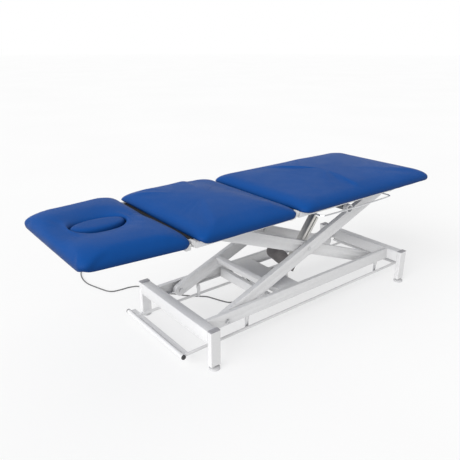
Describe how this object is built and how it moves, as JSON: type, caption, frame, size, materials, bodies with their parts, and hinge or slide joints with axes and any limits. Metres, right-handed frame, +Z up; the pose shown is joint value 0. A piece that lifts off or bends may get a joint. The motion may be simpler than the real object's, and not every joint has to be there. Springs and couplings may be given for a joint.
{
  "type": "medical exam table",
  "caption": "Electric treatment couch: scissor lift base, padded head, seat and leg sections that tilt, face opening with plug, foot switch bar.",
  "frame": {"origin": "middle of the couch in plan, on the floor under the levelling feet", "axes": "+X to the foot end, -Y to the near side with the release bail, +Z up"},
  "size_m": [1.96, 1.5823, 0.6639],
  "materials": {
    "powder": "light grey powder coat",
    "cap": "moulded",
    "foot": "moulded",
    "zinc": "zinc plated",
    "bolt": "dark plated",
    "nylon": "nylon",
    "motor": "textured",
    "alloy": "satin",
    "chrome": "polished",
    "plastic": "textured",
    "gas": "semi gloss black",
    "vinyl": "upholstery vinyl",
    "lead": "matte cable sheath"
  },
  "bodies": {
    "base": {"leg_head_near": "powder", "leg_head_far": "powder", "leg_foot_near": "powder", "leg_foot_far": "powder", "cap_head_near": "cap", "cap_head_far": "cap", "cap_foot_near": "cap", "cap_foot_far": "cap", "crossbeam_head": "powder", "crossbeam_foot": "powder", "base_rail_near": "powder", "base_rail_far": "powder", "pivot_bolt_near": "zinc", "pivot_bolt_far": "zinc", "cross_tube": "powder", "motor_plate": "powder", "control_box": "plastic", "lead_gland": "plastic", "mains_lead": "lead", "mains_coil": "lead", "mains_plug": "lead"},
    "levelling_foot_head_near": {"foot_head_near": "foot"},
    "levelling_foot_head_far": {"foot_head_far": "foot"},
    "levelling_foot_foot_near": {"foot_foot_near": "foot"},
    "levelling_foot_foot_far": {"foot_foot_far": "foot"},
    "arms_a": {"arm_a_near": "powder", "arm_a_far": "powder", "arm_a_tie": "powder", "thrust_bar": "bolt", "centre_bolt_near": "zinc", "centre_bolt_far": "zinc"},
    "arms_b": {"arm_b_near": "powder", "arm_b_far": "powder", "arm_b_tie": "powder"},
    "base_roller_near": {"roller_base_near": "nylon"},
    "base_roller_far": {"roller_base_far": "nylon"},
    "top_roller_near": {"roller_top_near": "nylon"},
    "top_roller_far": {"roller_top_far": "nylon"},
    "top": {"top_chassis": "powder", "seat_frame": "powder", "seat_cushion": "vinyl"},
    "leg_section": {"leg_frame": "powder", "leg_cushion": "vinyl"},
    "bail": {"release_bail": "chrome"},
    "leg_spring_body": {"leg_gas_body": "gas"},
    "leg_spring_rod": {"leg_gas_rod": "chrome"},
    "head_section": {"head_frame": "powder", "head_cushion": "vinyl"},
    "plug": {"face_plug": "vinyl"},
    "head_spring_body": {"head_gas_body": "gas"},
    "head_spring_rod": {"head_gas_rod": "chrome"},
    "spindle": {"actuator_spindle": "chrome"},
    "actuator": {"actuator_tube": "alloy", "actuator_motor": "motor"},
    "links_head": {"link_head_near": "zinc", "link_head_far": "zinc"},
    "links_foot": {"link_foot_near": "zinc", "link_foot_far": "zinc"},
    "switch_bar": {"foot_bar": "powder"}
  },
  "joints": [
    {"name": "lift", "type": "hinge", "parent": "base", "child": "arms_a", "pos_m": [-0.318, 0, 0.141], "axis": [0, -1, 0], "range_deg": [-7.2, 14.2]},
    {"name": "scissor_centre", "type": "hinge", "parent": "arms_a", "child": "arms_b", "pos_m": [0.207, 0, 0.34001], "axis": [0, -1, 0], "range_deg": [-28.45, 14.45]},
    {"name": "top_pivot", "type": "hinge", "parent": "arms_b", "child": "top", "pos_m": [-0.318, 0, 0.53902], "axis": [0, -1, 0], "range_deg": [-7.25, 14.25]},
    {"name": "spindle_pivot", "type": "hinge", "parent": "arms_a", "child": "spindle", "pos_m": [0.49304, 0, 0.48701], "axis": [0, -1, 0], "range_deg": [-3.77, 7.39]},
    {"name": "actuator_stroke", "type": "slide", "parent": "spindle", "child": "actuator", "axis": [-0.5948, 0, -0.8039], "range_m": [-0.05785, 0.11391]},
    {"name": "leg_section_tilt", "type": "hinge", "parent": "top", "child": "leg_section", "pos_m": [-0.009, 0, 0.60392], "axis": [0, -1, 0], "range_deg": [0, 65]},
    {"name": "head_section_tilt", "type": "hinge", "parent": "top", "child": "head_section", "pos_m": [-0.549, 0, 0.60392], "axis": [0, 1, 0], "range_deg": [-30, 40]},
    {"name": "leg_spring_pivot", "type": "hinge", "parent": "top", "child": "leg_spring_body", "pos_m": [0.647, 0, 0.56202], "axis": [0, -1, 0], "range_deg": [-14.11, 0]},
    {"name": "leg_spring_stroke", "type": "slide", "parent": "leg_spring_body", "child": "leg_spring_rod", "axis": [-0.9998, 0, -0.0185], "range_m": [0, 0.01772]},
    {"name": "head_spring_pivot", "type": "hinge", "parent": "top", "child": "head_spring_body", "pos_m": [-0.353, 0, 0.54802], "axis": [0, -1, 0], "range_deg": [-9.43, 7.09]},
    {"name": "head_spring_stroke", "type": "slide", "parent": "head_spring_body", "child": "head_spring_rod", "axis": [-0.9933, 0, -0.1159], "range_m": [-0.03863, 0.05145]},
    {"name": "bail_pull", "type": "hinge", "parent": "leg_section", "child": "bail", "pos_m": [0.159, -0.218, 0.55002], "axis": [-1, 0, 0], "range_deg": [0, 12], "stiffness_Nm_per_rad": 0.5, "springref_deg": -17.19},
    {"name": "plug_lift", "type": "slide", "parent": "head_section", "child": "plug", "axis": [0, 0, 1], "range_m": [0, 0.08]},
    {"name": "base_roller_near_spin", "type": "hinge", "parent": "arms_b", "child": "base_roller_near", "pos_m": [0.732, -0.2, 0.141], "axis": [0, 1, 0], "continuous": true},
    {"name": "top_roller_near_spin", "type": "hinge", "parent": "arms_a", "child": "top_roller_near", "pos_m": [0.732, -0.122, 0.53902], "axis": [0, 1, 0], "continuous": true},
    {"name": "base_roller_far_spin", "type": "hinge", "parent": "arms_b", "child": "base_roller_far", "pos_m": [0.732, 0.2, 0.141], "axis": [0, 1, 0], "continuous": true},
    {"name": "top_roller_far_spin", "type": "hinge", "parent": "arms_a", "child": "top_roller_far", "pos_m": [0.732, 0.122, 0.53902], "axis": [0, 1, 0], "continuous": true},
    {"name": "switch_links_head", "type": "hinge", "parent": "base", "child": "links_head", "pos_m": [-0.193, 0, 0.109], "axis": [0, -1, 0], "range_deg": [-8, 8], "stiffness_Nm_per_rad": 30},
    {"name": "switch_links_foot", "type": "hinge", "parent": "base", "child": "links_foot", "pos_m": [0.759, 0, 0.109], "axis": [0, -1, 0], "range_deg": [-8, 8]},
    {"name": "switch_bar_pivot", "type": "hinge", "parent": "links_head", "child": "switch_bar", "pos_m": [-0.193, 0, 0.06], "axis": [0, -1, 0], "range_deg": [-8, 8]},
    {"name": "levelling_head_near", "type": "slide", "parent": "base", "child": "levelling_foot_head_near", "axis": [0, 0, 1], "range_m": [-0.01, 0]},
    {"name": "levelling_head_far", "type": "slide", "parent": "base", "child": "levelling_foot_head_far", "axis": [0, 0, 1], "range_m": [-0.01, 0]},
    {"name": "levelling_foot_near", "type": "slide", "parent": "base", "child": "levelling_foot_foot_near", "axis": [0, 0, 1], "range_m": [-0.01, 0]},
    {"name": "levelling_foot_far", "type": "slide", "parent": "base", "child": "levelling_foot_foot_far", "axis": [0, 0, 1], "range_m": [-0.01, 0]}
  ],
  "couplings": [
    {"joint": "scissor_centre", "follows": "lift", "ratio": -2},
    {"joint": "top_pivot", "follows": "lift", "ratio": 1},
    {"joint": "spindle_pivot", "follows": "lift", "ratio": 0.51677},
    {"joint": "actuator_stroke", "follows": "lift", "m_per_rad": 0.45879},
    {"joint": "leg_spring_pivot", "follows": "leg_section_tilt", "ratio": -0.21626},
    {"joint": "leg_spring_stroke", "follows": "leg_section_tilt", "m_per_rad": 0.01544},
    {"joint": "head_spring_pivot", "follows": "head_section_tilt", "ratio": -0.23459},
    {"joint": "head_spring_stroke", "follows": "head_section_tilt", "m_per_rad": 0.0734},
    {"joint": "switch_links_foot", "follows": "switch_links_head", "ratio": 1},
    {"joint": "switch_bar_pivot", "follows": "switch_links_head", "ratio": -1}
  ]
}
